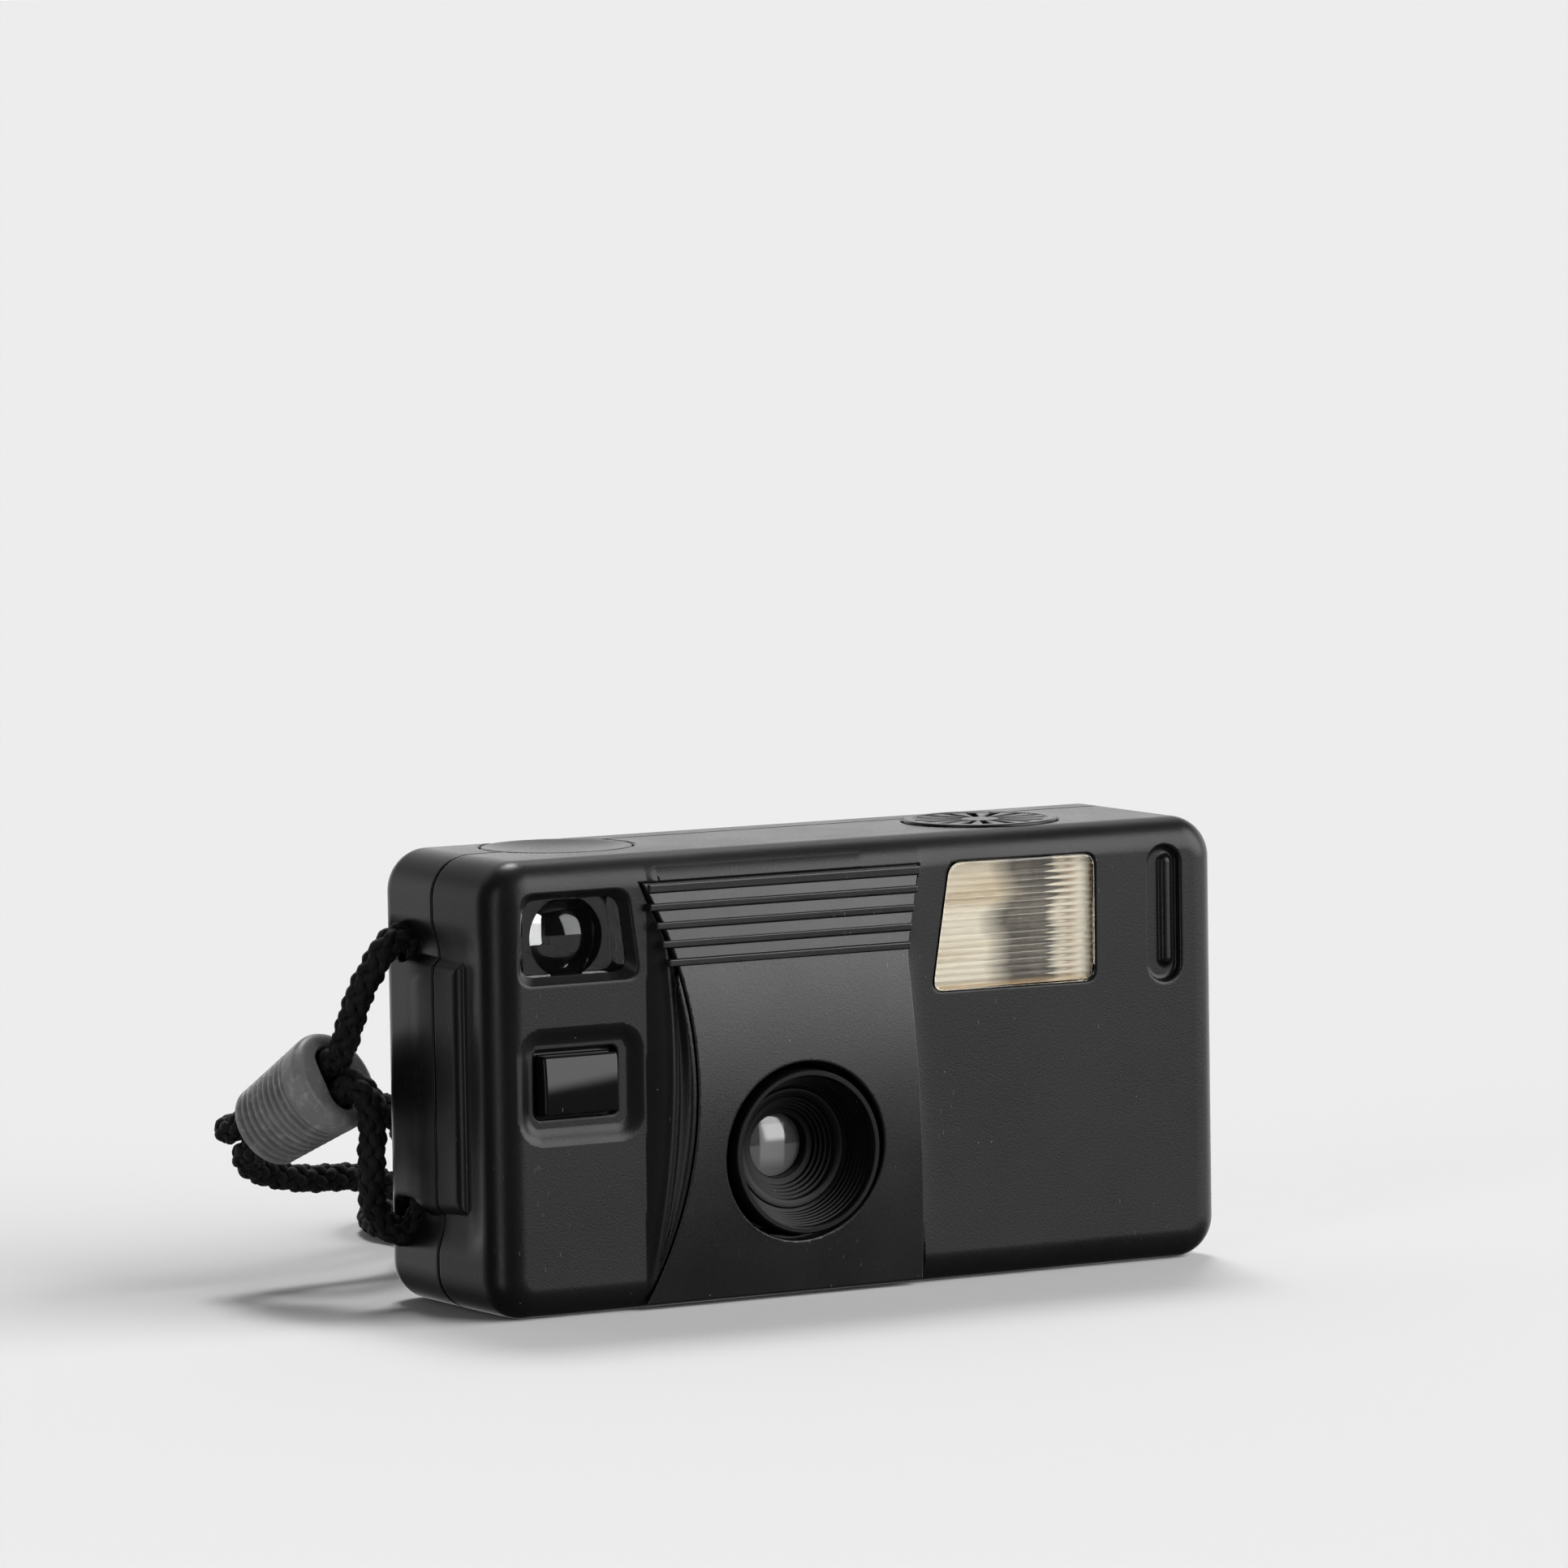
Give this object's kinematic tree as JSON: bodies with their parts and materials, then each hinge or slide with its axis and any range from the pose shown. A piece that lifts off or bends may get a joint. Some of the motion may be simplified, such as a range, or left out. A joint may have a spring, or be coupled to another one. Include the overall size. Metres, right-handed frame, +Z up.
{
  "type": "pocket flash camera",
  "caption": "Flat black pocket camera with a side viewfinder, deep-set lens, built-in flash, top release and wrist cord with a ribbed lock.",
  "frame": {"origin": "middle of the base, at the height the camera stands on", "axes": "+X to the right seen from the front, -Y out of the front face and lens, +Z up"},
  "size_m": [0.1255, 0.1029, 0.0601],
  "materials": {
    "shell_plastic": "satin black moulded plastic, fine grain",
    "panel_plastic": "satin black, smoother than the covers",
    "gloss_black": "polished black",
    "inner_black": "matt black",
    "lens_black": "matt black with light lips",
    "clear": "clear moulded acrylic",
    "flash_clear": "ribbed cream acrylic over a smoky centre",
    "reflector": "polished",
    "flash_glass": "clear glass tube",
    "steel": "plain",
    "blade_steel": "blackened",
    "brass": "plain",
    "board": "green laminate",
    "can": "sleeved",
    "coil": "wound and taped",
    "gear_plastic": "natural",
    "cell": "plain sleeve",
    "cord": "black braid",
    "lock_plastic": "worn dark gray"
  },
  "bodies": {
    "camera_body": {"front_cover": "shell_plastic", "rear_cover": "shell_plastic", "lens_panel": "panel_plastic", "lens_ring": "lens_black", "lens_barrel": "lens_black", "front_lens": "clear", "rear_lens": "clear", "shutter_plate": "inner_black", "blade_pin": "steel", "lever_pin": "steel", "button_spring": "steel", "flash_contact": "brass", "viewfinder_window": "clear", "viewfinder_tube": "inner_black", "viewfinder_eyepiece": "clear", "flash_window": "flash_clear", "flash_reflector": "reflector", "flash_tube": "flash_glass", "flash_board": "board", "flash_capacitor": "can", "trigger_coil": "coil", "ratchet_spring": "steel", "chassis": "inner_black", "battery": "cell", "battery_contact_plus": "brass", "battery_contact_minus": "brass", "cover_screws": "steel", "strap_cord": "cord", "cord_crimp": "steel", "strap_bead": "lock_plastic"},
    "shutter_button_body": {"shutter_button": "shell_plastic"},
    "lever_body": {"release_lever": "gear_plastic"},
    "blade_body": {"shutter_blade": "blade_steel"},
    "flash_button_body": {"flash_button": "gloss_black"},
    "dial_body": {"top_dial": "shell_plastic", "dial_gear": "gear_plastic"},
    "drive_body": {"drive_gear": "gear_plastic"},
    "film_door_body": {"film_door": "shell_plastic", "film_door_pin": "steel", "film_spring": "steel"},
    "latch_body": {"door_latch": "inner_black"},
    "battery_door_body": {"battery_door": "shell_plastic", "battery_door_pin": "steel"}
  },
  "joints": [
    {"name": "shutter_press", "type": "slide", "parent": "camera_body", "child": "shutter_button_body", "axis": [0, 0, -1], "range_m": [0, 0.0012], "stiffness_N_per_m": 800, "springref_m": -0.0004, "deforming": ["button_spring"]},
    {"name": "lever_turn", "type": "hinge", "parent": "camera_body", "child": "lever_body", "pos_m": [-0.023, -0.0013, 0.0385], "axis": [0, -1, 0], "range_deg": [0, 9.6]},
    {"name": "blade_turn", "type": "hinge", "parent": "camera_body", "child": "blade_body", "pos_m": [-0.0167, -0.0027, 0.0293], "axis": [0, 1, 0], "range_deg": [0, 28.2]},
    {"name": "flash_press", "type": "slide", "parent": "camera_body", "child": "flash_button_body", "axis": [0, 1, 0], "range_m": [0, 0.001], "stiffness_N_per_m": 800, "springref_m": -0.0004},
    {"name": "dial_turn", "type": "hinge", "parent": "camera_body", "child": "dial_body", "pos_m": [0.0266, 0.0009, 0.056], "axis": [0, 0, 1], "continuous": true},
    {"name": "drive_turn", "type": "hinge", "parent": "camera_body", "child": "drive_body", "pos_m": [0.017, 0.00667, 0.05], "axis": [0, 0, 1], "continuous": true},
    {"name": "film_door_swing", "type": "hinge", "parent": "camera_body", "child": "film_door_body", "pos_m": [0.0314, 0.0156, 0.0206], "axis": [0, 0, -1], "range_deg": [0, 90]},
    {"name": "latch_slide", "type": "slide", "parent": "film_door_body", "child": "latch_body", "axis": [-1, 0, 0], "range_m": [0, 0.0022]},
    {"name": "battery_door_swing", "type": "hinge", "parent": "camera_body", "child": "battery_door_body", "pos_m": [0.0526, 0.0156, 0.0295], "axis": [0, 0, -1], "range_deg": [0, 90]}
  ],
  "couplings": [
    {"joint": "lever_turn", "follows": "shutter_press", "rad_per_m": 137.5},
    {"joint": "blade_turn", "follows": "shutter_press", "rad_per_m": 407},
    {"joint": "drive_turn", "follows": "dial_turn", "ratio": -1.3333}
  ]
}
